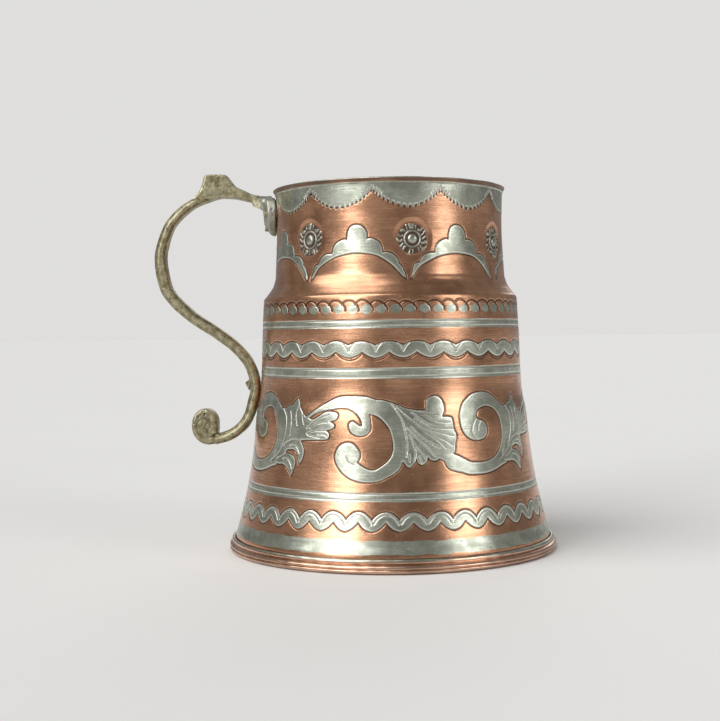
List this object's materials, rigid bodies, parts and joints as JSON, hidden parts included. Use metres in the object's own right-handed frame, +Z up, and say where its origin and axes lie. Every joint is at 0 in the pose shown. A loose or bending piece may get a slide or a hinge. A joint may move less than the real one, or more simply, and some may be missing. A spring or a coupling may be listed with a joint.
{
  "type": "tankard",
  "caption": "Raised copper tankard with a waisted neck, a spreading folded foot, tinned ornament bands and a cast brass S-scroll handle with a thumb rest, riveted at neck and belly.",
  "frame": {"origin": "on the vessel's axis at the underside of the base disc", "axes": "+Z up along the vessel's axis, handle towards -X, seen in the picture along +Y"},
  "size_m": [0.1566, 0.1284, 0.1462],
  "materials": {
    "tinned_copper": "polished copper, engraved, with tinned bands",
    "base_copper": "worn copper, tinned inside",
    "cast_brass": "pale cast brass with a dull skin, bright on its edges",
    "rivet_copper": "hammered copper, worn"
  },
  "bodies": {
    "root": {"tankard_body": "tinned_copper", "base_disc": "base_copper", "handle": "cast_brass", "rivet_upper_front": "rivet_copper", "rivet_upper_back": "rivet_copper", "rivet_upper_tip": "rivet_copper", "rivet_lower": "rivet_copper"}
  },
  "joints": []
}
